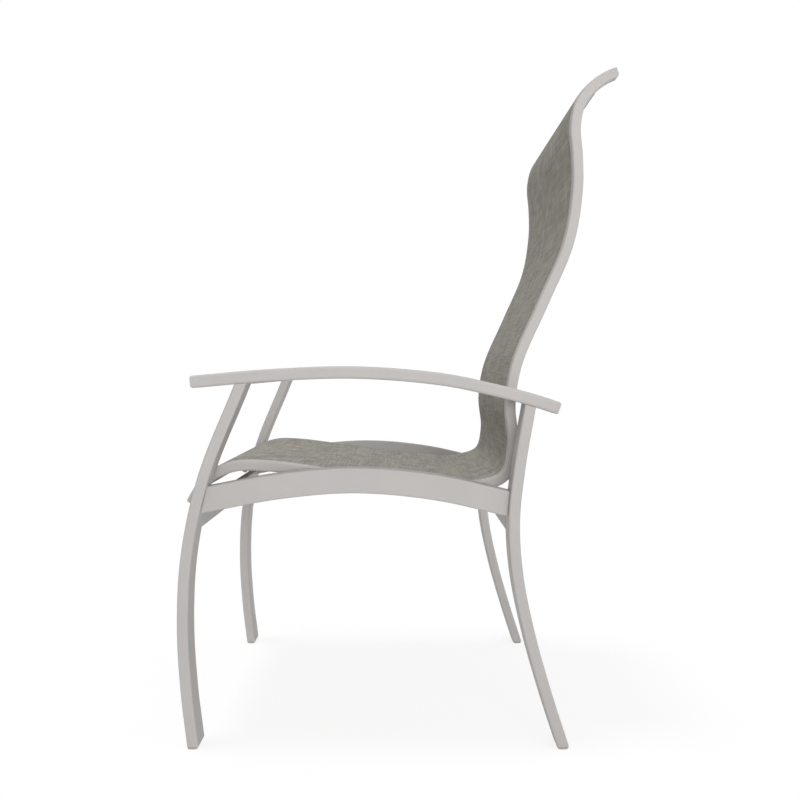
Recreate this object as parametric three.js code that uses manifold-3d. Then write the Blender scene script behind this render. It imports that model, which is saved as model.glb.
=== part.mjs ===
// High-back sling patio armchair: welded aluminium base, bolted-in sling rails and a tensioned mesh sling.
// Millimetres, +Z up. The sitter faces -Y, +X is the sitter's left, and the origin is on the floor
// under the middle of the chair.
import * as THREE from 'three';
import { mergeVertices } from 'three/addons/utils/BufferGeometryUtils.js';
import Module from 'manifold-3d';

const wasm = await Module();
wasm.setup();

// Overall sizes
const chairDepth = 738;        // foremost point of the front legs to the tip of the back
const frameWidth = 628;        // over the outer faces of the legs
const armHeight = 636;         // floor to the crown of the arms
const seatHeight = 474.2;      // floor to the crest of the sling rails
const backRise = 665.7;        // crest of the sling rails to their top ends, along Z
const noseDrop = 63.9;         // crest of the sling rails down to their front ends
const seatDip = 36.4;          // crest of the sling rails down to the hollow of the seat

// Clearances
const fitGap = 0.3;            // left between pieces that touch
const overrun = 30;            // how far a blank runs past the cut that trims it

// Legs: flat aluminium tube on a curve, with a plastic glide in the foot
const legWidth = 48;
const legThickness = 19;
const legCorner = 3;
const legWall = 2;
const glideLip = 3;            // plastic that shows under the end of the tube
const glidePlug = 26;          // how far the glide reaches up, from the floor
const footRound = 6.5;         // rounding of the foot, seen from the side

// Arms: the same kind of tube laid over the legs, closed by a plug at each end
const armWidth = 52;
const armThickness = 20.5;
const armCorner = 4;
const armWall = 2;
const plugFace = 5;            // plug that shows past the end of the tube
const plugShank = 12;          // plug inside the tube
const plugRound = 4;

// Side rails: an arched tube between the legs, under the seat
const sideRailWidth = 25;
const sideRailHeight = 42.8;
const sideRailCorner = 3;
const sideRailWall = 2;
const sideRailInset = 11;      // behind the outer faces of the legs
const sideRailDrop = 28.3;     // crown of its centreline below the seat height
const sideRailFrontFall = 32.6;
const sideRailRearFall = 40.5;

// Stretchers: straight tubes between the left and right legs, flush with the faces that face each other
const stretcherHeight = 40;
const stretcherThickness = 14;
const stretcherWall = 2;
const stretcherCorner = 3;
const frontStretcherDrop = 2.8;   // below the sling rails' undersides
const rearStretcherDrop = 27.9;   // below the rear end of the side rail

// Sling rails: one long extrusion a side, from the nose of the seat to the top of the back
const slingRailWidth = 20;
const slingRailThickness = 17.5;
const slingRailCorner = 3;
const slingRailWall = 2;
const slingRailGap = 6;        // between the leg's inner face and the rail's outer face
const slotInset = 11;          // outer face of the rail to the slot in its front face
const slotWidth = 3;
const railCapFace = 5.4;       // cap that shows past the end of the rail
const railCapShank = 12;       // cap inside the rail's chamber
const railCapRound = 4.4;

// Sling: woven mesh, its side hems run over a plastic spline in each rail's channel
const slingThickness = 1.2;
const splineDiameter = 4;
const slingEndMargin = 0.8;    // caps to the sling's top and front hems

// Spreader bars: flat tubes that hold the sling rails apart, keyed into the rails' inner walls
const spreaderWidth = 25;
const spreaderThickness = 8;
const spreaderCorner = 3;
const spreaderSetback = 4.4;   // bar's middle behind the middle of the rail
const tenonLength = 6;
const tenonWidth = 14;
const tenonThickness = 5;

// Fasteners: a bolt, a spacer and a rivet nut join each sling rail to its side rail, twice
const boltDiameter = 5;
const boltHeadWidth = 9;
const boltHeadHeight = 4;
const boltReach = 8;           // bolt past the inner wall of the side rail
const boltSetback = 4.4;       // bolt behind the middle of the rail, clear of the spline channel
const spacerDiameter = 14;
const nutFlangeDiameter = 12;
const nutFlangeThickness = 1.2;
const nutBodyDiameter = 9;
const nutLength = 10;

// Curves in the side view. Fore-and-aft shares are of half the chair's depth, front negative.
const frontLegShares = [
  { reach: -0.931, height: 0 }, { reach: -0.959, height: 0.1415 }, { reach: -0.975, height: 0.3145 },
  { reach: -0.957, height: 0.503 }, { reach: -0.880, height: 0.7075 }, { reach: -0.7165, height: 0.943 },
];
const rearLegShares = [
  { reach: 0.7377, height: 0 }, { reach: 0.6586, height: 0.1415 }, { reach: 0.5818, height: 0.2987 },
  { reach: 0.5268, height: 0.456 }, { reach: 0.5112, height: 0.5975 }, { reach: 0.5355, height: 0.739 },
  { reach: 0.5805, height: 0.896 },
];
const armFall = 60;            // crown of the arm's centreline down to its rear end
const armShares = [
  { reach: -0.9333, fall: 0.2725 }, { reach: -0.566, fall: 0.0825 }, { reach: -0.187, fall: 0.0142 },
  { reach: 0.192, fall: 0.2033 }, { reach: 0.4065, fall: 0.4708 }, { reach: 0.5827, fall: 0.7475 },
  { reach: 0.7108, fall: 1 },
];
const sideRailFrontShares = [{ reach: -0.539, fall: 0.29 }];
const sideRailCrownShare = -0.2;
const sideRailRearShares = [{ reach: 0.165, fall: 0.294 }];
const noseShares = [
  { reach: -0.9697, drop: 1 }, { reach: -0.8916, drop: 0.3546 }, { reach: -0.7696, drop: 0.0211 },
];
const seatShares = [
  { reach: -0.6342, dip: 0 }, { reach: -0.4443, dip: 0.22 }, { reach: -0.1603, dip: 0.645 },
  { reach: 0.1378, dip: 0.948 }, { reach: 0.3275, dip: 1 }, { reach: 0.4857, dip: 0.466 },
];
const backShares = [
  { reach: 0.5247, rise: 0.0518 }, { reach: 0.51, rise: 0.1571 }, { reach: 0.5398, rise: 0.2618 },
  { reach: 0.6618, rise: 0.4194 }, { reach: 0.7751, rise: 0.5698 }, { reach: 0.8146, rise: 0.7053 },
  { reach: 0.8065, rise: 0.848 }, { reach: 0.8266, rise: 0.9232 }, { reach: 0.874, rise: 0.9585 },
  { reach: 0.9263, rise: 0.9823 }, { reach: 0.9615, rise: 0.9929 }, { reach: 0.9954, rise: 1 },
];
const boltReachShares = [-0.35, 0.25];
const spreaderShares = [0.075, 0.47, 0.955];
const spreaderNames = ['front', 'lumbar', 'top'];

// Stations along the tubes
const legStations = 12;
const armStations = 14;
const sideRailStations = 12;
const slingStations = 38;
const turnShare = 0.55;        // share of the stations that go where a tube turns
const pathSamples = 600;

// Materials
function powderCoat() {
  return new THREE.MeshStandardMaterial({ color: 0xbebbb8, roughness: 0.55, metalness: 0.15 });
}
function slingFabric() {
  return new THREE.MeshStandardMaterial({ color: 0x96958a, roughness: 0.9, metalness: 0 });
}
function paleNylon() {
  return new THREE.MeshStandardMaterial({ color: 0xb8b5b1, roughness: 0.6, metalness: 0 });
}
function splinePlastic() {
  return new THREE.MeshStandardMaterial({ color: 0x6f6e6a, roughness: 0.5, metalness: 0 });
}
function stainlessSteel() {
  return new THREE.MeshStandardMaterial({ color: 0xb4b4b4, roughness: 0.35, metalness: 0.9 });
}

const sidePoint = (point) => new THREE.Vector3(0, point.x, point.y);

// A bent centreline in the side view, whose stations crowd where it turns.
class BentLine extends THREE.Curve {
  constructor(points) {
    super();
    const route = new THREE.CatmullRomCurve3(points.map(sidePoint));
    route.arcLengthDivisions = pathSamples;
    this.length = route.getLength();
    this.samples = route.getSpacedPoints(pathSamples);
    const turns = this.samples.slice(1, -1).map((here, i) => (
      here.clone().sub(this.samples[i]).angleTo(this.samples[i + 2].clone().sub(here))));
    const turning = turns.reduce((sum, turn) => sum + turn, 0);
    this.marks = [0];
    [...turns, 0].forEach((turn, i) => {
      this.marks.push(this.marks[i] + (1 - turnShare) / pathSamples + (turnShare * turn) / turning);
    });
  }

  sampleAt(position) {
    const limited = Math.min(Math.max(position, 0), pathSamples);
    const before = Math.min(Math.floor(limited), pathSamples - 1);
    return this.samples[before].clone().lerp(this.samples[before + 1], limited - before);
  }

  getPointAt(u) {
    const mark = u * this.marks[pathSamples];
    const next = Math.max(1, this.marks.findIndex((entry, i) => entry >= mark || i === pathSamples));
    const before = this.marks[next - 1];
    return this.sampleAt(next - 1 + (mark - before) / (this.marks[next] - before));
  }

  getTangentAt(u) {
    const step = 1 / pathSamples;
    return this.getPointAt(Math.min(1, u + step)).sub(this.getPointAt(Math.max(0, u - step))).normalize();
  }

  // Place and directions a length along the line, in the side view.
  frameAt(distance) {
    const position = (distance / this.length) * pathSamples;
    const here = this.sampleAt(position);
    const ahead = this.sampleAt(position + 1).sub(this.sampleAt(position - 1)).normalize();
    return {
      middle: new THREE.Vector2(here.y, here.z),
      ahead: new THREE.Vector2(ahead.y, ahead.z),
      front: new THREE.Vector2(-ahead.z, ahead.y),
    };
  }

  // Length along the line at which it first passes a fore-and-aft place ('y') or a height ('z').
  distanceWhere(axis, value) {
    const next = this.samples.findIndex((here, i) => (
      i > 0 && (this.samples[i - 1][axis] - value) * (here[axis] - value) <= 0));
    const before = this.samples[next - 1][axis];
    const position = next - 1 + (value - before) / (this.samples[next][axis] - before);
    return (position / pathSamples) * this.length;
  }
}

// Side-view points
const halfDepth = chairDepth / 2;
const at = (share, height) => new THREE.Vector2(share * halfDepth, height);
const pushed = (point, direction, distance) => point.clone().addScaledVector(direction, distance);

// Runs a centreline on past both of its ends, straight.
function extended(points, distance) {
  const line = new BentLine(points);
  const start = line.frameAt(0);
  const end = line.frameAt(line.length);
  return [pushed(start.middle, start.ahead, -distance), ...points, pushed(end.middle, end.ahead, distance)];
}

// Sections: lists of points whose x runs to the chair's left and whose y runs towards the sitter
const quarter = Math.PI / 2;
const fullTurn = Math.PI * 2;
const cornerPieces = 2;
const roundPieces = 8;

function arc(x, y, radius, from, to, pieces = cornerPieces, clockwise = false) {
  return new THREE.EllipseCurve(x, y, radius, radius, from, to, clockwise).getPoints(pieces);
}

function ring(x, y, radius, pieces = roundPieces) {
  return arc(x, y, radius, 0, fullTurn, pieces).slice(1);
}

function roundedRectangle(width, height, radius) {
  const x = width / 2 - radius;
  const y = height / 2 - radius;
  return [
    ...arc(x, y, radius, 0, quarter), ...arc(-x, y, radius, quarter, 2 * quarter),
    ...arc(-x, -y, radius, 2 * quarter, -quarter), ...arc(x, -y, radius, -quarter, 0),
  ];
}

function rectangle(width, height, x = 0, y = 0) {
  const corner = (across, along) => new THREE.Vector2(x + across / 2, y + along / 2);
  return [corner(-width, -height), corner(width, -height), corner(width, height), corner(-width, height)];
}

// Rounds each corner of an outline by its own distance.
function roundedOutline(corners, distances) {
  const pieces = 3;
  return corners.flatMap((corner, i) => {
    if (distances[i] === 0) return [corner];
    const before = corners[(i + corners.length - 1) % corners.length];
    const after = corners[(i + 1) % corners.length];
    const enter = pushed(corner, before.clone().sub(corner).normalize(), distances[i]);
    const leave = pushed(corner, after.clone().sub(corner).normalize(), distances[i]);
    return new THREE.QuadraticBezierCurve(enter, corner, leave).getPoints(pieces);
  });
}

// Solids
function solidOf(geometry) {
  const bare = geometry.clone();
  bare.deleteAttribute('normal');
  bare.deleteAttribute('uv');
  const merged = mergeVertices(bare);
  const vertProperties = new Float32Array(merged.attributes.position.array);
  const triVerts = new Uint32Array(merged.index.array);
  return new wasm.Manifold(new wasm.Mesh({ numProp: 3, vertProperties, triVerts }));
}

// Section swept along a centreline, with the section's origin at a place across the chair.
function sweep(section, line, place, steps) {
  const shape = new THREE.Shape(section.map((point) => new THREE.Vector2(-point.x, point.y)));
  const geometry = new THREE.ExtrudeGeometry(shape, { steps, extrudePath: line, bevelEnabled: false });
  return solidOf(geometry.translate(place, 0, 0));
}

// Side-view outline run straight across the chair between two places.
function runAcross(outline, [from, to]) {
  const shape = new THREE.Shape(outline);
  const geometry = new THREE.ExtrudeGeometry(shape, { depth: to - from, bevelEnabled: false });
  const basis = new THREE.Matrix4().makeBasis(
    new THREE.Vector3(0, 1, 0), new THREE.Vector3(0, 0, 1), new THREE.Vector3(1, 0, 0));
  return solidOf(geometry.applyMatrix4(basis).translate(from, 0, 0));
}

// Round bar across the chair, centred on a side-view place.
function barAcross(diameter, middle, [from, to], sides = 2 * roundPieces) {
  const geometry = new THREE.CylinderGeometry(diameter / 2, diameter / 2, to - from, sides);
  return solidOf(geometry.rotateZ(quarter).translate((from + to) / 2, middle.x, middle.y));
}

// Block over the last stretch of a line, from a depth inside its end to a distance past it.
function endBlock(line, atStart, depth, past, thickness, round, span) {
  const { middle, ahead, front } = line.frameAt(atStart ? 0 : line.length);
  const out = ahead.clone().multiplyScalar(atStart ? -1 : 1);
  const inner = pushed(middle, out, -depth);
  const outer = pushed(middle, out, past);
  const half = thickness / 2;
  const corners = [
    pushed(inner, front, half), pushed(outer, front, half),
    pushed(outer, front, -half), pushed(inner, front, -half),
  ];
  return runAcross(roundedOutline(corners, [0, round, round, 0]), span);
}

// Cuts a stretch off both ends of a swept piece.
function shortened(solid, line, depth, span) {
  const room = 4 * overrun;
  return [true, false].reduce((piece, atStart) => (
    piece.subtract(endBlock(line, atStart, depth, overrun, room, 0, span))), solid);
}

// Plug in the end of a tube: a rounded face as wide as the tube, and a shank inside it.
function endPlug(line, steps, atStart, place, outside, socket) {
  const span = [place - outside.width, place + outside.width];
  const height = outside.thickness + 2 * fitGap;
  const last = (section, depth) => sweep(section, line, place, steps)
    .intersect(endBlock(line, atStart, depth, -fitGap, height, outside.round, span));
  const face = roundedRectangle(outside.width, outside.thickness, outside.corner);
  return last(face, outside.face).add(last(socket, outside.face + outside.shank));
}

function geometryOf(solid) {
  const mesh = solid.getMesh();
  const geometry = new THREE.BufferGeometry();
  geometry.setAttribute('position', new THREE.BufferAttribute(new Float32Array(mesh.vertProperties), 3));
  geometry.setIndex(new THREE.BufferAttribute(new Uint32Array(mesh.triVerts), 1));
  geometry.computeVertexNormals();
  return geometry;
}

function mirrored(geometry) {
  const copy = geometry.clone().scale(-1, 1, 1);
  const index = copy.index.array;
  for (let i = 0; i < index.length; i += 3) [index[i], index[i + 1]] = [index[i + 1], index[i]];
  copy.computeVertexNormals();
  return copy;
}

const chair = new THREE.Group();

function addPiece(name, geometry, material) {
  const mesh = new THREE.Mesh(geometry, material);
  mesh.name = name;
  chair.add(mesh);
}

// A piece of the sitter's left side, and its mirror image on the right.
function addPair(name, solid, material) {
  const geometry = geometryOf(solid);
  addPiece(`${name}_left`, geometry, material());
  addPiece(`${name}_right`, mirrored(geometry), material());
}

// Places across the chair, on the sitter's left
const legMiddle = frameWidth / 2 - legWidth / 2;
const legInner = frameWidth / 2 - legWidth;
const sideRailOuter = frameWidth / 2 - sideRailInset;
const sideRailMiddle = sideRailOuter - sideRailWidth / 2;
const sideRailInner = sideRailOuter - sideRailWidth;
const slingRailOuter = legInner - slingRailGap;
const slingRailMiddle = slingRailOuter - slingRailWidth / 2;
const slingRailInner = slingRailOuter - slingRailWidth;

// Centrelines
const legPoints = (shares) => shares.map(({ reach, height }) => at(reach, height * armHeight));
const frontLegLine = new BentLine(extended(legPoints(frontLegShares), overrun));
const rearLegLine = new BentLine(extended(legPoints(rearLegShares), overrun));

const armCrown = armHeight - armThickness / 2;
const armLine = new BentLine(armShares.map(({ reach, fall }) => at(reach, armCrown - fall * armFall)));

const crest = seatHeight - slingRailThickness / 2;
const slingPoints = [
  ...noseShares.map(({ reach, drop }) => at(reach, crest - drop * noseDrop)),
  ...seatShares.map(({ reach, dip }) => at(reach, crest - dip * seatDip)),
  ...backShares.map(({ reach, rise }) => at(reach, crest + rise * backRise)),
];
const slingLine = new BentLine(slingPoints);

const sideRailCrown = seatHeight - sideRailDrop;
const sideRailFrontHeight = sideRailCrown - sideRailFrontFall;
const sideRailRearHeight = sideRailCrown - sideRailRearFall;
const placeAtHeight = (line, height) => line.frameAt(line.distanceWhere('z', height)).middle;
const sideRailLine = new BentLine([
  placeAtHeight(frontLegLine, sideRailFrontHeight),
  ...sideRailFrontShares.map(({ reach, fall }) => at(reach, sideRailCrown - fall * sideRailFrontFall)),
  at(sideRailCrownShare, sideRailCrown),
  ...sideRailRearShares.map(({ reach, fall }) => at(reach, sideRailCrown - fall * sideRailRearFall)),
  placeAtHeight(rearLegLine, sideRailRearHeight),
]);

// Arms, and the plugs in their ends
const armSpan = [legMiddle - armWidth, legMiddle + armWidth];

function armTube() {
  const blank = sweep(roundedRectangle(armWidth, armThickness, armCorner), armLine, legMiddle, armStations);
  const bore = rectangle(armWidth - 2 * armWall, armThickness - 2 * armWall);
  const tube = blank.subtract(sweep(bore, armLine, legMiddle, armStations));
  return shortened(tube, armLine, plugFace + fitGap, armSpan);
}

function armPlug(atStart) {
  const outside = {
    width: armWidth, thickness: armThickness, corner: armCorner,
    face: plugFace, shank: plugShank, round: plugRound,
  };
  const inset = 2 * (armWall + 2 * fitGap);
  const socket = rectangle(armWidth - inset, armThickness - inset);
  return endPlug(armLine, armStations, atStart, legMiddle, outside, socket);
}

addPair('arm', armTube(), powderCoat);
addPair('arm_plug_front', armPlug(true), paleNylon);
addPair('arm_plug_rear', armPlug(false), paleNylon);

// Legs: cut to the underside of the arm at the top and to a rounded foot at the floor
const legSpan = [legInner - legWidth, legMiddle + legWidth];
const cutHeight = 4 * overrun;
const cutMiddle = cutHeight / 2 - armThickness / 2 - fitGap;
const armCut = sweep(rectangle(armWidth * 2, cutHeight, 0, cutMiddle), armLine, legMiddle, armStations);

// All that stands above a rounded foot whose lowest face is at a height.
function aboveFoot(line, base) {
  const { middle, ahead } = line.frameAt(line.distanceWhere('z', base));
  const half = legThickness / 2 / ahead.y;
  const shoulder = base + 2 * footRound;
  const drift = ((shoulder - base) * ahead.x) / ahead.y;
  const flare = half + footRound / 4;
  const top = armHeight + backRise;
  const outline = [
    [middle.x - half, base], [middle.x + half, base],
    [middle.x + drift + flare, shoulder], [chairDepth, shoulder], [chairDepth, top],
    [-chairDepth, top], [-chairDepth, shoulder], [middle.x + drift - flare, shoulder],
  ].map(([reach, height]) => new THREE.Vector2(reach, height));
  return runAcross(roundedOutline(outline, [footRound, footRound, 0, 0, 0, 0, 0, 0]), legSpan);
}

function legBlank(line) {
  return sweep(roundedRectangle(legWidth, legThickness, legCorner), line, legMiddle, legStations);
}

function legBore(line, shrink = 0) {
  const inset = 2 * (legWall + shrink);
  return sweep(rectangle(legWidth - inset, legThickness - inset), line, legMiddle, legStations);
}

function legTube(line) {
  const tube = legBlank(line).subtract(legBore(line));
  return tube.intersect(aboveFoot(line, glideLip + fitGap)).subtract(armCut);
}

function legGlide(line) {
  const lip = legBlank(line).subtract(aboveFoot(line, glideLip));
  const slab = runAcross(rectangle(chairDepth * 2, glidePlug, 0, glidePlug / 2), legSpan);
  return lip.add(legBore(line, 2 * fitGap).intersect(slab)).intersect(aboveFoot(line, 0));
}

addPair('front_leg', legTube(frontLegLine), powderCoat);
addPair('rear_leg', legTube(rearLegLine), powderCoat);
addPair('front_glide', legGlide(frontLegLine), paleNylon);
addPair('rear_glide', legGlide(rearLegLine), paleNylon);

// Places of the bolts that join a sling rail to its side rail
const boltPlaces = boltReachShares.map((share) => {
  const { middle, front } = slingLine.frameAt(slingLine.distanceWhere('y', share * halfDepth));
  return pushed(middle, front, -boltSetback);
});
const boltHole = boltDiameter + 2 * fitGap;

// All that lies beyond the inner face of a leg, in front of it (1) or behind it (-1)
function fromLegOutward(line, side) {
  const reach = 2 * sideRailHeight;
  const middle = side * (reach / 2 - legThickness / 2 - fitGap);
  return sweep(rectangle(legWidth * 2, reach, 0, middle), line, legMiddle, legStations);
}

// Side rails, coped to the legs and drilled for the rivet nuts
function sideRail() {
  const section = roundedRectangle(sideRailWidth, sideRailHeight, sideRailCorner);
  const bore = rectangle(sideRailWidth - 2 * sideRailWall, sideRailHeight - 2 * sideRailWall);
  const tube = sweep(section, sideRailLine, sideRailMiddle, sideRailStations)
    .subtract(sweep(bore, sideRailLine, sideRailMiddle, sideRailStations));
  const hole = nutBodyDiameter + 2 * fitGap;
  return boltPlaces
    .reduce((rail, middle) => rail.subtract(barAcross(hole, middle, [slingRailOuter, sideRailMiddle])), tube)
    .subtract(fromLegOutward(frontLegLine, 1))
    .subtract(fromLegOutward(rearLegLine, -1));
}

addPair('side_rail', sideRail(), powderCoat);

// Stretchers, tilted with the legs that they join
const halfStretcher = stretcherHeight / 2;
const toInside = (legThickness - stretcherThickness) / 2;

function stretcher(line, height, side) {
  const { middle, ahead, front } = line.frameAt(line.distanceWhere('z', height));
  const centre = pushed(middle, front, side * toInside);
  const tilted = (points) => points.map((point) => (
    point.clone().rotateAround(new THREE.Vector2(), ahead.angle() - quarter).add(centre)));
  const inset = 2 * stretcherWall;
  const end = legInner - fitGap;
  const outside = tilted(roundedRectangle(stretcherThickness, stretcherHeight, stretcherCorner));
  const bore = tilted(rectangle(stretcherThickness - inset, stretcherHeight - inset));
  return runAcross(outside, [-end, end]).subtract(runAcross(bore, [-frameWidth, frameWidth]));
}

// Height at which the sling rails' undersides pass over the front stretcher's upper front edge
const frontLeg = placeAtHeight(frontLegLine, sideRailFrontHeight - stretcherHeight);
const frontLean = frontLegLine.frameAt(frontLegLine.distanceWhere('z', frontLeg.y));
const upperEdge = pushed(
  frontLean.ahead.clone().multiplyScalar(halfStretcher), frontLean.front, stretcherThickness / 2 - toInside);
const railRun = new BentLine(extended(slingPoints, overrun));
const overEdge = railRun.frameAt(railRun.distanceWhere('y', frontLeg.x + upperEdge.x));
const underside = overEdge.middle.y - slingRailThickness / 2 / overEdge.ahead.x;
const frontStretcherHeight = underside - frontStretcherDrop - upperEdge.y;
addPiece('front_stretcher', geometryOf(stretcher(frontLegLine, frontStretcherHeight, -1)), powderCoat());
const rearStretcherHeight = sideRailRearHeight - rearStretcherDrop;
addPiece('rear_stretcher', geometryOf(stretcher(rearLegLine, rearStretcherHeight, 1)), powderCoat());

// Sling rail section: a box with a chamber, and a round channel behind the slot for the sling's spline
const hemRadius = splineDiameter / 2 + fitGap + slingThickness;
const channelRadius = hemRadius + fitGap;
const slotMiddle = slingRailWidth / 2 - slotInset - slotWidth / 2;
const railFace = slingRailThickness / 2;
const channelDepth = railFace - slingRailWall - channelRadius;
const chamberOuter = slingRailWidth / 2 - slingRailWall;
const chamberInner = slotMiddle + channelRadius + slingRailWall;
const chamberWidth = chamberOuter - chamberInner;
const chamberMiddle = (chamberOuter + chamberInner) / 2;
const chamberHeight = slingRailThickness - 2 * slingRailWall;
const railSpan = [slingRailInner - slingRailWidth, slingRailOuter + slingRailWidth];

function slingRailSection() {
  const neck = Math.asin(slotWidth / 2 / channelRadius);
  const [first, ...others] = roundedRectangle(slingRailWidth, slingRailThickness, slingRailCorner);
  const corner = [first, ...others.slice(0, cornerPieces)];
  const rest = others.slice(cornerPieces);
  return [
    ...corner, new THREE.Vector2(slotMiddle + slotWidth / 2, railFace),
    ...arc(slotMiddle, channelDepth, channelRadius, quarter - neck, quarter + neck, roundPieces, true),
    new THREE.Vector2(slotMiddle - slotWidth / 2, railFace), ...rest,
  ];
}

const spreaderFrames = spreaderShares.map((share) => slingLine.frameAt(share * slingLine.length));

// Side-view outline of a bar or tenon, turned with the rails and set back from their middle.
function barOutline({ middle, ahead, front }, width, thickness, corner) {
  const centre = pushed(middle, front, -spreaderSetback);
  const corners = rectangle(width, thickness)
    .map((point) => pushed(pushed(centre, ahead, point.x), front, point.y));
  return roundedOutline(corners, corners.map(() => corner));
}

function slingRail() {
  const chamber = rectangle(chamberWidth, chamberHeight, chamberMiddle);
  const blank = sweep(slingRailSection(), slingLine, slingRailMiddle, slingStations)
    .subtract(sweep(chamber, slingLine, slingRailMiddle, slingStations));
  const drilled = boltPlaces
    .reduce((rail, middle) => rail.subtract(barAcross(boltHole, middle, railSpan)), blank);
  const pocketed = spreaderFrames.reduce((rail, frame) => {
    const pocket = barOutline(frame, tenonWidth + 2 * fitGap, tenonThickness + 2 * fitGap, 0);
    return rail.subtract(runAcross(pocket, [railSpan[0], slingRailInner + tenonLength + fitGap]));
  }, drilled);
  return shortened(pocketed, slingLine, railCapFace + fitGap, railSpan);
}

function slingRailCap(atStart) {
  const outside = {
    width: slingRailWidth, thickness: slingRailThickness, corner: slingRailCorner,
    face: railCapFace, shank: railCapShank, round: railCapRound,
  };
  const inset = 4 * fitGap;
  const socket = rectangle(chamberWidth - inset, chamberHeight - inset, chamberMiddle);
  return endPlug(slingLine, slingStations, atStart, slingRailMiddle, outside, socket);
}

addPair('sling_rail', slingRail(), powderCoat);
addPair('sling_rail_cap_front', slingRailCap(true), paleNylon);
addPair('sling_rail_cap_top', slingRailCap(false), paleNylon);

// Spreader bars between the sling rails, with a tenon at each end
spreaderFrames.forEach((frame, i) => {
  const barEnd = slingRailInner - fitGap;
  const tenonEnd = slingRailInner + tenonLength;
  const outline = barOutline(frame, spreaderWidth, spreaderThickness, spreaderCorner);
  const bar = runAcross(outline, [-barEnd, barEnd]);
  const tenons = runAcross(barOutline(frame, tenonWidth, tenonThickness, 0), [-tenonEnd, tenonEnd]);
  addPiece(`spreader_${spreaderNames[i]}`, geometryOf(bar.add(tenons)), powderCoat());
});

// The sling: a strip over the rails' faces whose sides turn down through the slots into round hems
const slotPlace = slingRailMiddle + slotMiddle;
const slingSpan = [-frameWidth, frameWidth];

function slingSection() {
  const half = slingThickness / 2;
  const under = railFace + fitGap;
  const over = under + slingThickness;
  const neck = Math.asin(half / hemRadius);
  const hem = (place) => arc(place, channelDepth, hemRadius, quarter + neck, quarter - neck, roundPieces);
  return [
    new THREE.Vector2(slotPlace, over), new THREE.Vector2(-slotPlace, over),
    new THREE.Vector2(-slotPlace - half, over - half), ...hem(-slotPlace),
    new THREE.Vector2(-slotPlace + half, under), new THREE.Vector2(slotPlace - half, under),
    ...hem(slotPlace), new THREE.Vector2(slotPlace + half, over - half),
  ];
}

function sling() {
  const bore = ring(0, channelDepth, hemRadius - slingThickness);
  const hemmed = [-slotPlace, slotPlace].reduce(
    (strip, place) => strip.subtract(sweep(bore, slingLine, place, slingStations)),
    sweep(slingSection(), slingLine, 0, slingStations));
  return shortened(hemmed, slingLine, railCapFace + slingEndMargin, slingSpan);
}

function slingSpline() {
  const section = ring(slotMiddle, channelDepth, splineDiameter / 2);
  const cord = sweep(section, slingLine, slingRailMiddle, slingStations);
  return shortened(cord, slingLine, railCapFace + slingEndMargin, slingSpan);
}

addPiece('sling', geometryOf(sling()), slingFabric());
addPair('sling_spline', slingSpline(), splinePlastic);

// Bolts, spacers and rivet nuts
boltPlaces.forEach((middle, i) => {
  const station = ['front', 'rear'][i];
  const headEnd = slingRailInner - fitGap;
  const flangeEnd = sideRailInner - fitGap;
  const flangeStart = flangeEnd - nutFlangeThickness;
  const hole = barAcross(boltHole, middle, [slingRailInner, sideRailOuter]);
  const shank = barAcross(boltDiameter, middle, [headEnd - boltHeadHeight / 2, sideRailInner + boltReach]);
  const head = barAcross(boltHeadWidth, middle, [headEnd - boltHeadHeight, headEnd], 6);
  addPair(`rail_bolt_${station}`, shank.add(head), stainlessSteel);

  const spacer = barAcross(spacerDiameter, middle, [slingRailOuter + fitGap, flangeStart - fitGap]);
  addPair(`rail_spacer_${station}`, spacer.subtract(hole), paleNylon);

  const flange = barAcross(nutFlangeDiameter, middle, [flangeStart, flangeEnd]);
  const body = barAcross(nutBodyDiameter, middle, [flangeStart, sideRailInner + nutLength]);
  addPair(`rivet_nut_${station}`, flange.add(body).subtract(hole), stainlessSteel);
});

export default chair;
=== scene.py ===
import math

import bmesh
import bpy
from mathutils import Matrix, Vector


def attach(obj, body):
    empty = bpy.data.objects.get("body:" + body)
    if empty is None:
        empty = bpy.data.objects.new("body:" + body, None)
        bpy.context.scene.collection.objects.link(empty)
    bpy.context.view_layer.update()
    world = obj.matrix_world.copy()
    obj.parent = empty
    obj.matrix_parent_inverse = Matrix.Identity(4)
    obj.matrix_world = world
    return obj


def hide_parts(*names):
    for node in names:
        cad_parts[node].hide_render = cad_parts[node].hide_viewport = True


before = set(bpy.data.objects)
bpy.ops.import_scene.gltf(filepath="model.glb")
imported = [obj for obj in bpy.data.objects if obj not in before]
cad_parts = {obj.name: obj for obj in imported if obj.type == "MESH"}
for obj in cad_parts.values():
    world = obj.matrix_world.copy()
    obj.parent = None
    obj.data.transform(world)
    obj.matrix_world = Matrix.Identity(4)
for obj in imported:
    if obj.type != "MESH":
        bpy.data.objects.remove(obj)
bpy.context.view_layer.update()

# Viewpoint: the chair is seen square from its left side, from about the height of the arms, so
# that the far legs and the far arm show a little way inside the near ones.
eye_height = 0.6242
eye_distance = 1.7702
eye_tilt = math.radians(1.74)
camera = bpy.data.objects.new("camera", bpy.data.cameras.new("camera"))
camera.data.lens = 40
camera.data.sensor_width = 36
camera.location = (eye_distance, 0, eye_height)
camera.rotation_euler = (math.radians(90) - eye_tilt, 0, math.radians(90))
bpy.context.scene.collection.objects.link(camera)
bpy.context.scene.camera = camera
bpy.context.scene.view_settings.view_transform = "Standard"


# Studio: a white room whose soft light is stronger from behind the chair than from its front, a
# broad key light from beside and a little behind it, and a smaller one from above its front that
# throws the faint shadow.
def node_in(tree, kind, **values):
    node = tree.nodes.new(kind)
    for name, value in values.items():
        setattr(node, name, value)
    return node


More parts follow.
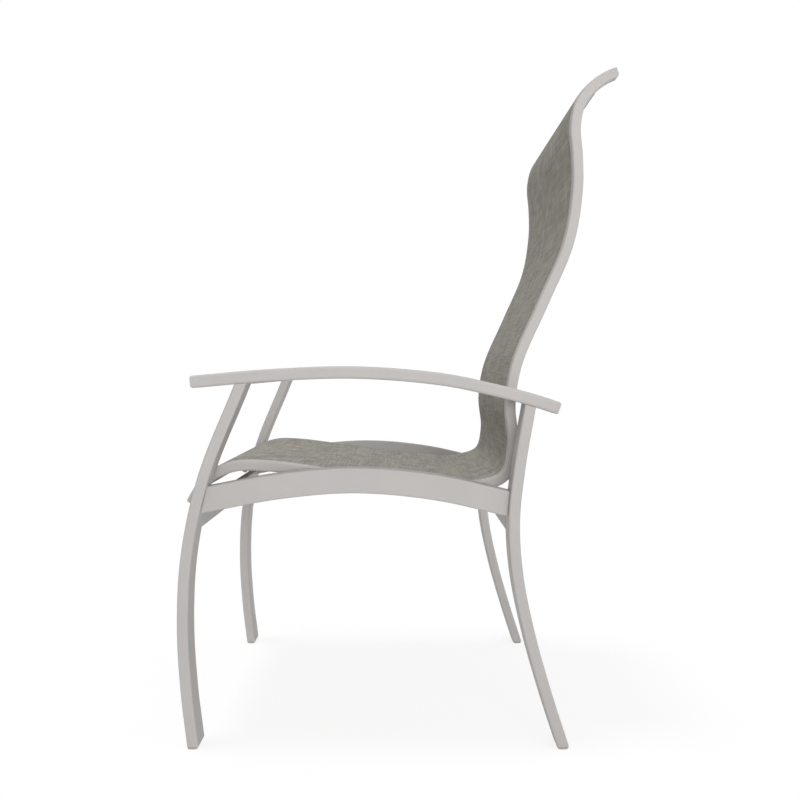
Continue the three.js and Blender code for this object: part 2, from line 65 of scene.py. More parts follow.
def seen_directly(tree):
    """One for what the camera sees straight, in a mirror or through glass, and nought for light."""
    path = node_in(tree, "ShaderNodeLightPath")
    straight = node_in(tree, "ShaderNodeMath", operation="MAXIMUM")
    tree.links.new(path.outputs["Is Camera Ray"], straight.inputs[0])
    tree.links.new(path.outputs["Is Glossy Ray"], straight.inputs[1])
    either = node_in(tree, "ShaderNodeMath", operation="MAXIMUM")
    tree.links.new(straight.outputs[0], either.inputs[0])
    tree.links.new(path.outputs["Is Transmission Ray"], either.inputs[1])
    return either.outputs[0]


room = bpy.data.worlds.new("white_room")
bpy.context.scene.world = room
room.use_nodes = True
room_tree = room.node_tree
room_tree.nodes.clear()
room_white = node_in(room_tree, "ShaderNodeBackground")
room_white.inputs["Color"].default_value = (1, 1, 1, 1)
room_fill = node_in(room_tree, "ShaderNodeBackground")
room_fill.inputs["Strength"].default_value = 0.50
room_place = node_in(room_tree, "ShaderNodeTexCoord")
room_split = node_in(room_tree, "ShaderNodeSeparateXYZ")
room_tree.links.new(room_place.outputs["Generated"], room_split.inputs[0])
room_shade = node_in(room_tree, "ShaderNodeMapRange")
room_shade.inputs["From Min"].default_value = -1
room_shade.inputs["From Max"].default_value = 1
room_shade.inputs["To Min"].default_value = 0.64
room_shade.inputs["To Max"].default_value = 1.24
room_tree.links.new(room_split.outputs["Y"], room_shade.inputs[0])
room_tree.links.new(room_shade.outputs[0], room_fill.inputs["Color"])
room_mix = node_in(room_tree, "ShaderNodeMixShader")
room_tree.links.new(seen_directly(room_tree), room_mix.inputs[0])
room_tree.links.new(room_fill.outputs[0], room_mix.inputs[1])
room_tree.links.new(room_white.outputs[0], room_mix.inputs[2])
room_out = node_in(room_tree, "ShaderNodeOutputWorld")
room_tree.links.new(room_mix.outputs[0], room_out.inputs[0])

for light_name, towards, strength, spread in (
    ("side_light", (-1.0, -0.20, -0.11), 1.47, 36),
    ("top_light", (0.0, 0.16, -1.0), 1.05, 12),
):
    sun = bpy.data.objects.new(light_name, bpy.data.lights.new(light_name, "SUN"))
    sun.data.energy = strength
    sun.data.angle = math.radians(spread)
    sun.rotation_euler = Vector(towards).to_track_quat("-Z", "Y").to_euler()
    bpy.context.scene.collection.objects.link(sun)

# Floor: a wide plane that the camera sees as white paper with the chair's shadow on it, while the
# light that it sends back is that of a light grey floor.
floor_size = 14
floor_mesh = bmesh.new()
bmesh.ops.create_grid(floor_mesh, x_segments=1, y_segments=1, size=floor_size / 2)
floor = bpy.data.objects.new("floor", bpy.data.meshes.new("floor"))
floor_mesh.to_mesh(floor.data)
floor_mesh.free()
bpy.context.scene.collection.objects.link(floor)
floor_paint = bpy.data.materials.new("white_floor")
floor_paint.use_nodes = True
floor_tree = floor_paint.node_tree
floor_tree.nodes.clear()
floor_lit = node_in(floor_tree, "ShaderNodeBsdfDiffuse")
floor_lit.inputs["Color"].default_value = (0.86, 0.86, 0.86, 1)
floor_glow = node_in(floor_tree, "ShaderNodeEmission")
floor_glow.inputs["Strength"].default_value = 1.075
floor_blend = node_in(floor_tree, "ShaderNodeMixShader")
floor_blend.inputs[0].default_value = 0.80
floor_tree.links.new(floor_lit.outputs[0], floor_blend.inputs[1])
floor_tree.links.new(floor_glow.outputs[0], floor_blend.inputs[2])
floor_grey = node_in(floor_tree, "ShaderNodeBsdfDiffuse")
floor_grey.inputs["Color"].default_value = (0.78, 0.78, 0.78, 1)
floor_choice = node_in(floor_tree, "ShaderNodeMixShader")
floor_tree.links.new(seen_directly(floor_tree), floor_choice.inputs[0])
floor_tree.links.new(floor_grey.outputs[0], floor_choice.inputs[1])
floor_tree.links.new(floor_blend.outputs[0], floor_choice.inputs[2])
floor_out = node_in(floor_tree, "ShaderNodeOutputMaterial")
floor_tree.links.new(floor_choice.outputs[0], floor_out.inputs[0])
floor.data.materials.append(floor_paint)


# Legs: flat aluminium tube with rounded corners, roll-bent in one plane and cut at the top to the
# underside of the arm that is welded on. The whole frame is sprayed with a warm grey powder.
def new_group(name, takes, gives):
    """A node group with the sockets it takes and gives, and its input and output nodes."""
    group = bpy.data.node_groups.new(name, "ShaderNodeTree")
    for direction, sockets in (("INPUT", takes), ("OUTPUT", gives)):
        for socket, kind in sockets.items():
            group.interface.new_socket(socket, in_out=direction, socket_type=f"NodeSocket{kind}")
    return group, node_in(group, "NodeGroupInput"), node_in(group, "NodeGroupOutput")


def orange_peel_group():
    """The fine pebbles of a sprayed or moulded surface, and slow clouds in its shade."""
    group, given, wanted = new_group("orange_peel", {"Pebble Size": "Float", "Depth": "Float"},
                                     {"Shade": "Float", "Normal": "Vector"})
    where = node_in(group, "ShaderNodeTexCoord")
    per_metre = node_in(group, "ShaderNodeMath", operation="DIVIDE")
    per_metre.inputs[0].default_value = 1
    group.links.new(given.outputs["Pebble Size"], per_metre.inputs[1])
    pebbles = node_in(group, "ShaderNodeTexNoise")
    pebbles.inputs["Detail"].default_value = 1
    group.links.new(where.outputs["Object"], pebbles.inputs["Vector"])
    group.links.new(per_metre.outputs[0], pebbles.inputs["Scale"])
    bump = node_in(group, "ShaderNodeBump")
    group.links.new(pebbles.outputs[0], bump.inputs["Height"])
    group.links.new(given.outputs["Depth"], bump.inputs["Distance"])
    clouds = node_in(group, "ShaderNodeTexNoise")
    clouds.inputs["Scale"].default_value = 9
    clouds.inputs["Detail"].default_value = 3
    group.links.new(where.outputs["Object"], clouds.inputs["Vector"])
    group.links.new(clouds.outputs[0], wanted.inputs["Shade"])
    group.links.new(bump.outputs[0], wanted.inputs["Normal"])
    return group


powder_grain = orange_peel_group()


def painted(name, pale, dark, roughness, pebble=0.0011, depth=0.00005, specular=0.4):
    """A pebbled finish whose colour drifts between two near shades."""
    finish = bpy.data.materials.new(name)
    finish.use_nodes = True
    tree = finish.node_tree
    surface = tree.nodes["Principled BSDF"]
    surface.inputs["Roughness"].default_value = roughness
    surface.inputs["Specular IOR Level"].default_value = specular
    grain = node_in(tree, "ShaderNodeGroup", node_tree=powder_grain)
    grain.inputs["Pebble Size"].default_value = pebble
    grain.inputs["Depth"].default_value = depth
    tint = node_in(tree, "ShaderNodeValToRGB")
    tint.color_ramp.elements[0].position = 0.35
    tint.color_ramp.elements[0].color = dark
    tint.color_ramp.elements[1].position = 0.65
    tint.color_ramp.elements[1].color = pale
    tree.links.new(grain.outputs["Shade"], tint.inputs[0])
    tree.links.new(tint.outputs[0], surface.inputs["Base Color"])
    tree.links.new(grain.outputs["Normal"], surface.inputs["Normal"])
    return finish


warm_grey_powder = painted("warm_grey_powder", (0.536, 0.512, 0.493, 1), (0.514, 0.491, 0.473, 1),
                           0.5)


def bend_through(points, spacing=0.008, beyond=0.0):
    """Even stations along a roll-bent centreline in the side view, as (place, direction) pairs.

    The bend passes through the points as a centripetal Catmull-Rom curve. Straight spare ends, to be
    cut to length, can go beyond them.
    """
    steps = 40
    ends = [2 * points[0] - points[1], *points, 2 * points[-1] - points[-2]]
    fine = []
    for before, start, finish, after in zip(ends, ends[1:], ends[2:], ends[3:]):
        spans = ((before, start), (start, finish), (finish, after))
        knots = [math.sqrt((q - p).length) for p, q in spans]
        leave = knots[1] * ((start - before) / knots[0] - (finish - before) / (knots[0] + knots[1])
                            + (finish - start) / knots[1])
        arrive = knots[1] * ((finish - start) / knots[1] - (after - start) / (knots[1] + knots[2])
                             + (after - finish) / knots[2])
        for k in range(steps):
            t = k / steps
            fine.append(start + leave * t + (3 * (finish - start) - 2 * leave - arrive) * t * t
                        + (2 * (start - finish) + leave + arrive) * t ** 3)
    fine.append(points[-1].copy())
    if beyond:
        fine.insert(0, fine[0] + (fine[0] - fine[1]).normalized() * beyond)
        fine.append(fine[-1] + (fine[-1] - fine[-2]).normalized() * beyond)
    travelled = [0.0]
    for p, q in zip(fine, fine[1:]):
        travelled.append(travelled[-1] + (q - p).length)
    count = max(2, round(travelled[-1] / spacing))
    places, k = [], 0
    for i in range(count + 1):
        goal = travelled[-1] * i / count
        while k < len(fine) - 2 and travelled[k + 1] < goal:
            k += 1
        part = (goal - travelled[k]) / (travelled[k + 1] - travelled[k])
        places.append(fine[k].lerp(fine[k + 1], part))
    ahead = [(places[min(i + 1, count)] - places[max(i - 1, 0)]).normalized()
             for i in range(count + 1)]
    return list(zip(places, ahead))


def side_points(*pairs):
    """Points of the side view, given in millimetres as (towards the rear, up)."""
    return [Vector((0, y, z)) / 1000 for y, z in pairs]


def rounded_section(width, thickness, corner, rounds=5, shoulder=0.0006):
    """Section points (across, towards the sitter) with a narrow shoulder beside each corner."""
    points = []
    for across_sign, front_sign, first in ((1, 1, 0), (-1, 1, 90), (-1, -1, 180), (1, -1, 270)):
        centre = Vector((across_sign * (width / 2 - corner), front_sign * (thickness / 2 - corner)))
        arc = [centre + corner * Vector((math.cos(math.radians(first + 90 * k / rounds)),
                                         math.sin(math.radians(first + 90 * k / rounds))))
               for k in range(rounds + 1)]
        before, after = (arc[1] - arc[0]).normalized(), (arc[-1] - arc[-2]).normalized()
        along_before = Vector((0, front_sign)) if first % 180 == 0 else Vector((across_sign, 0))
        along_after = Vector((-across_sign, 0)) if first % 180 == 0 else Vector((0, -front_sign))
        points += [arc[0] - along_before * shoulder, *arc, arc[-1] + along_after * shoulder]
    return points


def swept(section, stations, across):
    """A tube as a bmesh: its section is extruded from station to station and turned with the bend.

    Each point keeps how far it lies along the bend, its travel, and round the section, its girth.
    """
    bm = bmesh.new()
    travel, girth = bm.verts.layers.float.new("travel"), bm.verts.layers.float.new("girth")
    place, ahead = stations[0]
    front = Vector((0, -ahead.z, ahead.y))
    ring = [bm.verts.new(place + Vector((across + p.x, 0, 0)) + front * p.y) for p in section]
    for before, vert in zip(ring, ring[1:]):
        vert[girth] = before[girth] + (vert.co - before.co).length
    edges = [bm.edges.new((a, b)) for a, b in zip(ring, ring[1:] + ring[:1])]
    bmesh.ops.contextual_create(bm, geom=edges)
    gone = 0.0
    for (here, way), (there, next_way) in zip(stations, stations[1:]):
        out = bmesh.ops.extrude_edge_only(bm, edges=edges)["geom"]
        fresh = [v for v in out if isinstance(v, bmesh.types.BMVert)]
        edges = [e for e in out if isinstance(e, bmesh.types.BMEdge)
                 and all(v in fresh for v in e.verts)]
        turn = math.atan2(next_way.z, next_way.y) - math.atan2(way.z, way.y)
        step = Matrix.Translation(there) @ Matrix.Rotation(turn, 4, "X") @ Matrix.Translation(-here)
        bmesh.ops.transform(bm, matrix=step, verts=fresh)
        gone += (there - here).length
        for vert in fresh:
            vert[travel] = gone
    bmesh.ops.contextual_create(bm, geom=edges)
    bmesh.ops.recalc_face_normals(bm, faces=bm.faces)
    return bm


def trimmed(bm, place, away):
    """Saws the piece off at a plane, drops what lies on the far side and closes the cut."""
    cut = bmesh.ops.bisect_plane(bm, geom=[*bm.verts, *bm.edges, *bm.faces], dist=1e-7,
                                 plane_co=place, plane_no=away, clear_outer=True)
    rim = [e for e in cut["geom_cut"] if isinstance(e, bmesh.types.BMEdge)]
    bmesh.ops.contextual_create(bm, geom=rim)
    return bm


def rounded_over(bm, centre, radius, first, last, cuts=6):
    """Planes an edge that runs across the chair to a round, between two faces' directions."""
    for k in range(1, cuts):
        towards = first.slerp(last, k / cuts)
        trimmed(bm, centre + towards * radius, towards)
    return bm


def finished(bm, name, finish, slot, *nodes, sharp=40):
    """Makes the bmesh a piece of the chair in place of its CAD nodes, with its sharp edges marked."""
    bmesh.ops.recalc_face_normals(bm, faces=bm.faces)
    for face in bm.faces:
        face.smooth = True
    for edge in bm.edges:
        if len(edge.link_faces) == 2 and edge.calc_face_angle(0) > math.radians(sharp):
            edge.smooth = False
    piece = bpy.data.objects.new(name, bpy.data.meshes.new(name))
    bm.to_mesh(piece.data)
    bm.free()
    piece.data.materials.append(finish)
    bpy.context.scene.collection.objects.link(piece)
    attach(piece, "root")
    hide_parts(*nodes)
    return piece


def both_sides(make, name, finish, slot):
    """The same piece on the sitter's left, as made, and mirrored on the right."""
    for side, sign in (("left", 1), ("right", -1)):
        bm = make()
        bmesh.ops.scale(bm, vec=(sign, 1, 1), verts=bm.verts)
        finished(bm, f"{name}_{side}_painted", finish, slot, f"{name}_{side}")


leg_across = 0.290
leg_width = 0.048
leg_half = 0.0095
leg_corner = 0.003
leg_spare = 0.03
leg_section = rounded_section(leg_width, 2 * leg_half, leg_corner)
front_leg_way = bend_through(side_points((-343.5, 0), (-353.9, 90), (-359.8, 200), (-353.1, 319.9),
                                         (-324.7, 450), (-264.4, 599.7)), beyond=leg_spare)
rear_leg_way = bend_through(side_points((272.2, 0), (243.0, 90), (214.7, 190), (194.4, 290),
                                        (188.6, 380), (197.6, 470), (214.2, 569.9)),
                            beyond=leg_spare)
arm_way = bend_through(side_points((-344.4, 609.4), (-208.9, 620.8), (-69, 624.9), (70.8, 613.55),
                                   (150, 597.5), (215, 580.9), (262.3, 565.75)))
arm_half = 0.01025
tube_gap = 0.0003
foot_round = 0.0055
glide_height = 0.003


def arm_plane_over(leg_way):
    """The underside of the arm where a leg meets it, as a point and the arm's upward normal."""
    top = leg_way[-1][0]
    height_weight = 0.3

    def from_top(station):
        """The distance along the chair from the leg's top. Height counts only by its weight."""
        return abs(station[0].y - top.y + (station[0].z - top.z) * height_weight)

    place, ahead = min(arm_way, key=from_top)
    up = Vector((0, -ahead.z, ahead.y))
    return place - up * (arm_half + tube_gap), up


def footed(way):
    """A leg's blank that stands flat on the floor, its front and rear edges rounded off below."""
    bm = swept(leg_section, way, leg_across)
    down = Vector((0, 0, -1))
    trimmed(bm, Vector((0, 0, 0)), down)
    place, ahead = min(way, key=lambda station: abs(station[0].z - foot_round))
    place = place + ahead * ((foot_round - place.z) / ahead.z)
    for side in (1, -1):
        face = Vector((0, -ahead.z, ahead.y)) * side
        centre = place + Vector((0, (leg_half - foot_round) / face.y, 0))
        rounded_over(bm, centre, foot_round, face, down)
    return bm


def leg(way):
    bm = footed(way)
    trimmed(bm, *arm_plane_over(way))
    return trimmed(bm, Vector((0, 0, glide_height + tube_gap)), Vector((0, 0, -1)))


both_sides(lambda: leg(front_leg_way), "front_leg", warm_grey_powder, "powder_coat")
both_sides(lambda: leg(rear_leg_way), "rear_leg", warm_grey_powder, "powder_coat")


# Foot glides: grey nylon, pressed into the ends of the legs. Each carries on the shape of its leg
# and stands flat on the floor, its front and rear edges rounded off.
grey_nylon = painted("grey_nylon", (0.44, 0.425, 0.41, 1), (0.41, 0.395, 0.38, 1), 0.42,
                     pebble=0.0004, depth=0.00002)


def glide(way):
    return trimmed(footed(way), Vector((0, 0, glide_height)), Vector((0, 0, 1)))


both_sides(lambda: glide(front_leg_way), "front_glide", grey_nylon, "nylon")
both_sides(lambda: glide(rear_leg_way), "rear_glide", grey_nylon, "nylon")


# Arms: wide flat aluminium tube with a shallow arch, laid over the legs and welded to them. Its ends
# are closed by pressed-in plugs that are sprayed with the frame.
arm_width = 0.052
arm_corner = 0.004
arm_section = rounded_section(arm_width, 2 * arm_half, arm_corner)
plug_face = 0.005
plug_seam = 0.0001
plug_round = 0.0044
rear_plug_round_below = 0.003


def end_planes(way, inset):
    """Planes square across a bent tube, a little way inside its two ends: (place, outward) pairs."""
    (first, away), (last, onward) = way[0], way[-1]
    return [(first + away * inset, -away), (last - onward * inset, onward)]


def arm():
    bm = swept(arm_section, arm_way, leg_across)
    for place, outward in end_planes(arm_way, plug_face + tube_gap):
        trimmed(bm, place, outward)
    return bm


def end_face(section, half, way, across, end, depth, over, under):
    """The face of an end plug: the end of the tube's shape, its upper and lower edge rounded over."""
    bm = swept(section, way, across)
    place, outward = end_planes(way, depth + tube_gap - plug_seam)[end]
    trimmed(bm, place, -outward)
    tip, _ = end_planes(way, tube_gap)[end]
    trimmed(bm, tip, outward)
    up = Vector((0, -outward.z, outward.y)) * (1 if end else -1)
    for side, radius in ((up, over), (-up, under)):
        rounded_over(bm, tip - outward * radius + side * (half - radius), radius, side, outward)
    return bm


def arm_plug(end, under):
    return end_face(arm_section, arm_half, arm_way, leg_across, end, plug_face, plug_round, under)


both_sides(arm, "arm", warm_grey_powder, "powder_coat")
both_sides(lambda: arm_plug(0, plug_round), "arm_plug_front", warm_grey_powder, "powder_coat")
both_sides(lambda: arm_plug(1, rear_plug_round_below), "arm_plug_rear", warm_grey_powder, "powder_coat")


# Side rails: deep arched aluminium tube, one a side, that the sling rails are bolted to. Each is
# butted between its front and rear leg and welded all round.
side_rail_across = 0.2905
side_rail_width = 0.025
side_rail_depth = 0.0428
side_rail_corner = 0.003
side_rail_spare = 0.012
front_joint_height = 0.413
rear_joint_height = 0.405
side_rail_way = bend_through(side_points((-327.0, 413.3), (-198.9, 436.45), (-73.8, 445.9),
                                         (60.9, 434.0), (189.1, 405.4)), beyond=side_rail_spare)
side_rail_section = rounded_section(side_rail_width, side_rail_depth, side_rail_corner)


def leg_plane(leg_way, height, side):
    """The front (1) or rear (-1) face of a leg at a height, as a point and the way into the leg."""
    place, ahead = min(leg_way, key=lambda station: abs(station[0].z - height))
    out = Vector((0, -ahead.z, ahead.y)) * side
    return place + out * (leg_half + tube_gap), -out


def side_rail():
    bm = swept(side_rail_section, side_rail_way, side_rail_across)
    trimmed(bm, *leg_plane(front_leg_way, front_joint_height, -1))
    trimmed(bm, *leg_plane(rear_leg_way, rear_joint_height, 1))
    return bm


both_sides(side_rail, "side_rail", warm_grey_powder, "powder_coat")


# Stretchers: straight aluminium tubes, thinner than the legs, that join the left and right sides at
# the front and the back a little below the side rails. They are welded between the legs, flush with
# the faces that the front and rear legs turn to each other.
stretcher_half_span = leg_across - leg_width / 2 - tube_gap
stretcher_thickness = 0.014
stretcher_depth = 0.040
stretcher_corner = 0.003
front_stretcher_height = 0.3828
rear_stretcher_height = 0.3775


def stretcher(leg_way, height, side):
    """A stretcher across the chair at a height, flush with a leg's front (1) or rear (-1) face."""
    place, ahead = min(leg_way, key=lambda station: abs(station[0].z - height))
    front = Vector((0, -ahead.z, ahead.y))
    set_back = side * (leg_half - stretcher_thickness / 2)
    place = place + ahead * ((height - place.z) / ahead.z) + front * set_back
    bm = bmesh.new()
    ring = [bm.verts.new(place - Vector((stretcher_half_span, 0, 0)) + front * p.x + ahead * p.y)
            for p in rounded_section(stretcher_thickness, stretcher_depth, stretcher_corner)]
    edges = [bm.edges.new((a, b)) for a, b in zip(ring, ring[1:] + ring[:1])]
    end = bmesh.ops.contextual_create(bm, geom=edges)["faces"]
    out = bmesh.ops.extrude_face_region(bm, geom=end, use_keep_orig=True)["geom"]
    far_end = [v for v in out if isinstance(v, bmesh.types.BMVert)]
    bmesh.ops.translate(bm, vec=(2 * stretcher_half_span, 0, 0), verts=far_end)
    return bm


finished(stretcher(front_leg_way, front_stretcher_height, -1), "front_stretcher_painted",
         warm_grey_powder, "powder_coat", "front_stretcher")
finished(stretcher(rear_leg_way, rear_stretcher_height, 1), "rear_stretcher_painted",
         warm_grey_powder, "powder_coat", "rear_stretcher")


# Sling rails: one aluminium extrusion a side, bent from the nose of the seat to the roll at the top
# of the back and bolted to the side rail, with a rimmed slot along its front face that grips the
# sling's edge. The ends are capped.
sling_rail_across = 0.250
sling_rail_points = side_points(
    (-357.8, 401.55), (-329.0, 442.8), (-284.0, 464.1), (-234.0, 465.45), (-163.95, 457.45),
    (-59.15, 441.95), (50.85, 430.95), (120.85, 429.05), (179.2, 448.5), (193.6, 499.95),
    (188.2, 570.05), (199.2, 639.75), (244.2, 744.65), (286.0, 844.75), (300.6, 934.95),
    (300.1, 992), (296.5, 1041), (305.0, 1080.0), (322.5, 1103.5), (341.8, 1119.35),
    (354.8, 1126.4), (367.3, 1131.15))
sling_rail_way = bend_through(sling_rail_points, spacing=0.006)
rail_width = 0.020
rail_half = 0.00875
rail_corner = 0.003
slot_across = -0.0025
slot_width = 0.003
slot_depth = 0.005
slot_bevel = 0.0004
slot_rim = 0.0012
slot_rim_foot = 0.00144
cap_face = 0.0054
nose_round = 0.0046
crest_round = 0.0022
crest_round_below = 0.0072
rail_section = rounded_section(rail_width, 2 * rail_half, rail_corner)


def slotted_section():
    """The rail's section with its slot: a raised rim on the outer lip, a bevel on the inner one."""
    cut = next(i for i, p in enumerate(rail_section) if p.x < 0)
    outer, inner = slot_width / 2, -slot_width / 2
    lips = [(outer + slot_rim_foot, 0), (outer + slot_rim, slot_rim), (outer, slot_rim),
            (outer, -slot_depth), (inner, -slot_depth), (inner, -slot_bevel), (inner - slot_bevel, 0)]
    slot = [Vector((slot_across + x, rail_half + y)) for x, y in lips]
    return rail_section[:cut] + slot + rail_section[cut:]


def sling_rail():
    bm = swept(slotted_section(), sling_rail_way, sling_rail_across)
    for place, outward in end_planes(sling_rail_way, cap_face + tube_gap):
        trimmed(bm, place, outward)
    return bm


def rail_cap(end, over, under):
    return end_face(rail_section, rail_half, sling_rail_way, sling_rail_across, end, cap_face, over,
                    under)


both_sides(sling_rail, "sling_rail", warm_grey_powder, "powder_coat")
both_sides(lambda: rail_cap(0, nose_round, nose_round), "sling_rail_cap_front", warm_grey_powder,
           "powder_coat")
both_sides(lambda: rail_cap(1, crest_round, crest_round_below), "sling_rail_cap_top",
           warm_grey_powder, "powder_coat")


# Spreader bars: flat aluminium bars set back behind the sling. A tenon at each end is welded into
# its rail. One is under the front of the seat, one where the seat turns up, and one at the top.
def refinished(node, finish):
    """Puts a finish on a CAD piece that stays as it is."""
    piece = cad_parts[node]
    piece.data.materials.clear()
    piece.data.materials.append(finish)


for place in ("front", "lumbar", "top"):
    refinished(f"spreader_{place}", warm_grey_powder)


# Sling: vinyl-coated polyester mesh, woven from grey yarns whose shade varies along their length. It
# lies over the rails' faces and turns down into their slots, which hold it stretched, and it ends at
# the rails' caps.
def woven_mesh_group():
    """A plain weave seen close: yarns streaked from dark to pale, with painted shade in the gaps."""
    group, given, wanted = new_group(
        "woven_mesh",
        {"Yarn Pitch": "Float", "Warp Streak": "Float", "Weft Streak": "Float", "Cloud": "Float",
         "Pale": "Color", "Dark": "Color"},
        {"Color": "Color", "Height": "Float"})
    yarn_apart = 0.73
    cloth = node_in(group, "ShaderNodeUVMap", uv_map="cloth")
    split = node_in(group, "ShaderNodeSeparateXYZ")
    group.links.new(cloth.outputs[0], split.inputs[0])

    def number(operation, *inputs):
        node = node_in(group, "ShaderNodeMath", operation=operation)
        for socket, value in zip(node.inputs, inputs):
            if isinstance(value, (int, float)):
                socket.default_value = value
            else:
                group.links.new(value, socket)
        return node.outputs[0]

    def yarns(across, along, streak, seed):
        """One set of parallel yarns: the number of each, its round top and its shade."""
        counted = number("DIVIDE", across, given.outputs["Yarn Pitch"])
        index = number("FLOOR", counted)
        offset = number("SUBTRACT", number("FRACT", counted), 0.5)
        round_top = number("COSINE", number("MULTIPLY", offset, math.pi))
        run = number("DIVIDE", along, given.outputs[streak])
        place = node_in(group, "ShaderNodeCombineXYZ")
        group.links.new(number("MULTIPLY", index, yarn_apart), place.inputs[0])
        group.links.new(run, place.inputs[1])
        place.inputs[2].default_value = seed
        shade = node_in(group, "ShaderNodeTexNoise")
        shade.inputs["Scale"].default_value = 1.0
        shade.inputs["Detail"].default_value = 2
        shade.inputs["Roughness"].default_value = 0.6
        group.links.new(place.outputs[0], shade.inputs["Vector"])
        return index, round_top, shade.outputs[0]

    girth, travel = split.outputs[0], split.outputs[1]
    warp_index, warp_round, warp_shade = yarns(girth, travel, "Warp Streak", seed=3.1)
    weft_index, weft_round, weft_shade = yarns(travel, girth, "Weft Streak", seed=11.7)
    over = number("MODULO", number("ADD", warp_index, weft_index), 2)
    warp_wave = number("MULTIPLY", number("SUBTRACT", over, 0.5), weft_round)
    warp_height = number("ADD", warp_round, warp_wave)
    weft_wave = number("MULTIPLY", number("SUBTRACT", 0.5, over), warp_round)
    weft_height = number("ADD", weft_round, weft_wave)
    on_top = number("GREATER_THAN", warp_height, weft_height)
    height = number("MAXIMUM", warp_height, weft_height)
    blended = node_in(group, "ShaderNodeMix", data_type="FLOAT")
    group.links.new(on_top, blended.inputs[0])
    group.links.new(weft_shade, blended.inputs[2])
    group.links.new(warp_shade, blended.inputs[3])
    cloud = node_in(group, "ShaderNodeTexNoise")
    cloud.inputs["Scale"].default_value = 28
    cloud.inputs["Detail"].default_value = 3
    group.links.new(cloth.outputs[0], cloud.inputs["Vector"])
    clouded = number("MULTIPLY", number("SUBTRACT", cloud.outputs[0], 0.5), given.outputs["Cloud"])
    sharper = node_in(group, "ShaderNodeMapRange")
    sharper.inputs["From Min"].default_value = 0.30
    sharper.inputs["From Max"].default_value = 0.70
    group.links.new(number("ADD", blended.outputs[0], clouded), sharper.inputs[0])
    tinted = node_in(group, "ShaderNodeMix", data_type="RGBA")
    group.links.new(sharper.outputs[0], tinted.inputs[0])
    group.links.new(given.outputs["Dark"], tinted.inputs[6])
    group.links.new(given.outputs["Pale"], tinted.inputs[7])
    # Painted shade: the colour is darkened towards each yarn's low sides and in the gaps between yarns.
    shadowed = node_in(group, "ShaderNodeMix", data_type="RGBA", blend_type="MULTIPLY")
    gap_shade = node_in(group, "ShaderNodeMapRange")
    gap_shade.inputs["From Min"].default_value = 0.35
    gap_shade.inputs["From Max"].default_value = 0.9
    gap_shade.inputs["To Min"].default_value = 0.45
    group.links.new(height, gap_shade.inputs[0])
    shadowed.inputs[0].default_value = 1
    group.links.new(tinted.outputs[2], shadowed.inputs[6])
    group.links.new(gap_shade.outputs[0], shadowed.inputs[7])
    group.links.new(shadowed.outputs[2], wanted.inputs["Color"])
    group.links.new(height, wanted.inputs["Height"])
    return group


mesh_cloth = bpy.data.materials.new("grey_sling_mesh")
mesh_cloth.use_nodes = True
cloth_tree = mesh_cloth.node_tree
cloth_surface = cloth_tree.nodes["Principled BSDF"]
cloth_surface.inputs["Roughness"].default_value = 0.72
cloth_surface.inputs["Specular IOR Level"].default_value = 0.3
weave = node_in(cloth_tree, "ShaderNodeGroup", node_tree=woven_mesh_group())
weave.inputs["Yarn Pitch"].default_value = 0.0013
weave.inputs["Warp Streak"].default_value = 0.060
weave.inputs["Weft Streak"].default_value = 0.10
weave.inputs["Cloud"].default_value = 0.40
weave.inputs["Pale"].default_value = (0.530, 0.500, 0.440, 1)
weave.inputs["Dark"].default_value = (0.205, 0.193, 0.167, 1)
weave_bump = node_in(cloth_tree, "ShaderNodeBump")
weave_bump.inputs["Distance"].default_value = 0.0003
weave_bump.inputs["Strength"].default_value = 0.8
cloth_tree.links.new(weave.outputs["Height"], weave_bump.inputs["Height"])
cloth_tree.links.new(weave.outputs["Color"], cloth_surface.inputs["Base Color"])
cloth_tree.links.new(weave_bump.outputs[0], cloth_surface.inputs["Normal"])

slot_line = sling_rail_across + slot_across
cloth_thickness = 0.0012
cloth_gap = 0.0003
cloth_under = rail_half + cloth_gap
cloth_columns = 24
tucked_in = 0.004
sling_end_gap = 0.0008
sling_end = cap_face + sling_end_gap


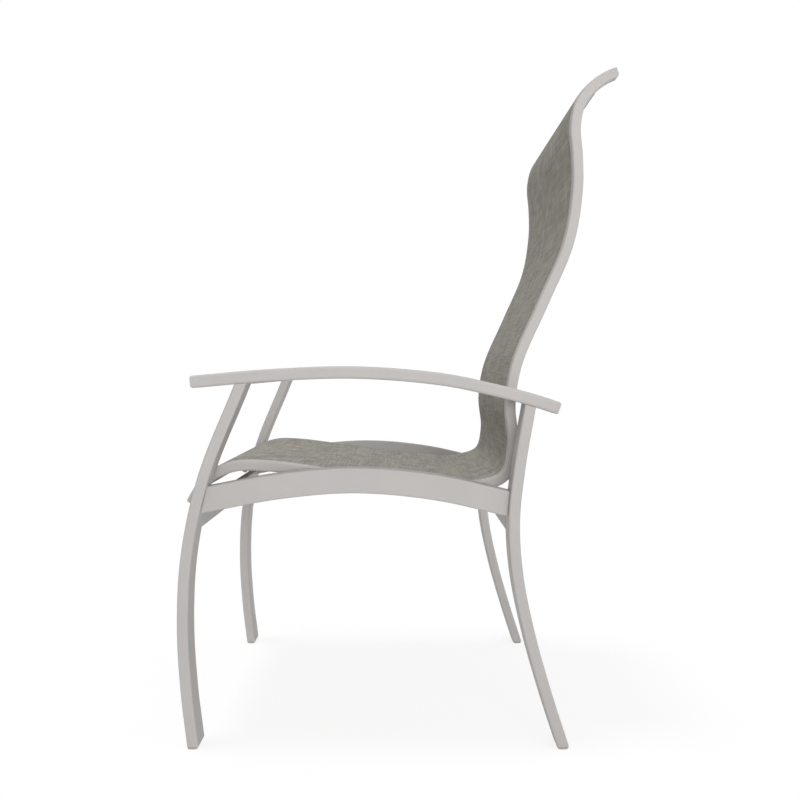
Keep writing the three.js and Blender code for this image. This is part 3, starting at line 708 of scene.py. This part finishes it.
def sling_section():
    """The sling from slot to slot: flat over the rails' faces, with its edges turned down."""
    top, low, half = cloth_under + cloth_thickness, rail_half - tucked_in, cloth_thickness / 2
    over = [Vector((slot_line * (1 - 2 * k / cloth_columns), top)) for k in range(cloth_columns + 1)]
    under = [Vector((-(slot_line - 2 * half) * (1 - 2 * k / cloth_columns), cloth_under))
             for k in range(cloth_columns + 1)]
    return [Vector((slot_line + half, low)), Vector((slot_line + half, top - half)), *over,
            Vector((-slot_line - half, top - half)), Vector((-slot_line - half, low)),
            Vector((-slot_line + half, low)), *under, Vector((slot_line - half, low))]


def unrolled(bm):
    """Maps the cloth flat, in metres: round its section, and along the rails from a metre on."""
    travel_start = 1
    pattern = bm.loops.layers.uv.new("cloth")
    travel, girth = bm.verts.layers.float["travel"], bm.verts.layers.float["girth"]
    for face in bm.faces:
        for loop in face.loops:
            loop[pattern].uv = (loop.vert[girth], loop.vert[travel] + travel_start)
    return bm


sling_mesh = unrolled(swept(sling_section(), sling_rail_way, 0))
for place, outward in end_planes(sling_rail_way, sling_end):
    trimmed(sling_mesh, place, outward)
sling = finished(sling_mesh, "sling_cloth", mesh_cloth, "sling_mesh", "sling", sharp=50)

# Splines: flexible plastic cords in the hems along the sling's sides. They are shut inside the
# rails' channels, too thick to pass the slots, so that they hold the stretched sling.
hem_plastic = painted("hem_plastic", (0.17, 0.165, 0.15, 1), (0.14, 0.135, 0.125, 1), 0.5)
for side in ("left", "right"):
    refinished(f"sling_spline_{side}", hem_plastic)

# Fasteners: stainless bolts pass through each sling rail and a nylon spacer into a rivet nut in
# the side rail.
stainless = painted("stainless", (0.50, 0.50, 0.50, 1), (0.44, 0.44, 0.44, 1), 0.32,
                    pebble=0.0002, depth=0.00001)
stainless.node_tree.nodes["Principled BSDF"].inputs["Metallic"].default_value = 0.9
fasteners = {"rail_bolt": stainless, "rivet_nut": stainless, "rail_spacer": grey_nylon}
for station in ("front", "rear"):
    for side in ("left", "right"):
        for part, finish in fasteners.items():
            refinished(f"{part}_{station}_{side}", finish)
